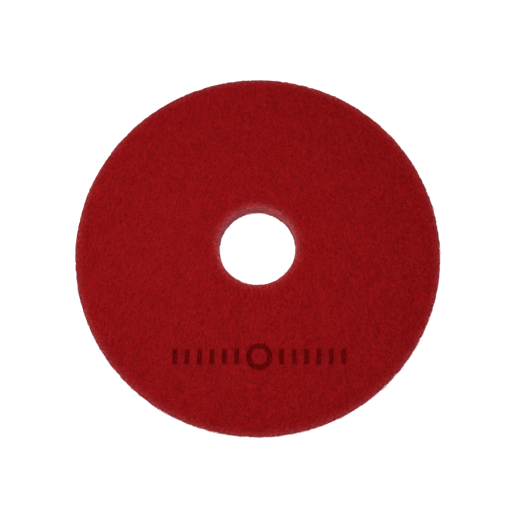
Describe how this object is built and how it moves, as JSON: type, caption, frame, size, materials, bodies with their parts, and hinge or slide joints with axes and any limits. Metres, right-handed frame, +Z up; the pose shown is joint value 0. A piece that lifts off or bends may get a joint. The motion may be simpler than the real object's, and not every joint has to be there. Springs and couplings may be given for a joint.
{
  "type": "floor buffing pad",
  "caption": "Round lofty non-woven fibre pad with a centre hole, carried by the pad driver of a rotary floor machine for buffing and light scrubbing.",
  "frame": {"origin": "centre of the lower face, where the pad rests on the floor", "axes": "+Z up along the spin axis, from the floor face to the driver face; +Y away from the printed side of the upper face"},
  "size_m": [0.3809, 0.381, 0.0254],
  "materials": {
    "coated_face": "red crimped non-woven fibre, stiff with sprayed resin and fine mineral, matte",
    "core_fibre": "paler, less coated crimped non-woven fibre, matte with faint sheen"
  },
  "bodies": {
    "root": {"lower_face_layer": "coated_face", "fibre_core": "core_fibre", "upper_face_layer": "coated_face"}
  },
  "joints": []
}
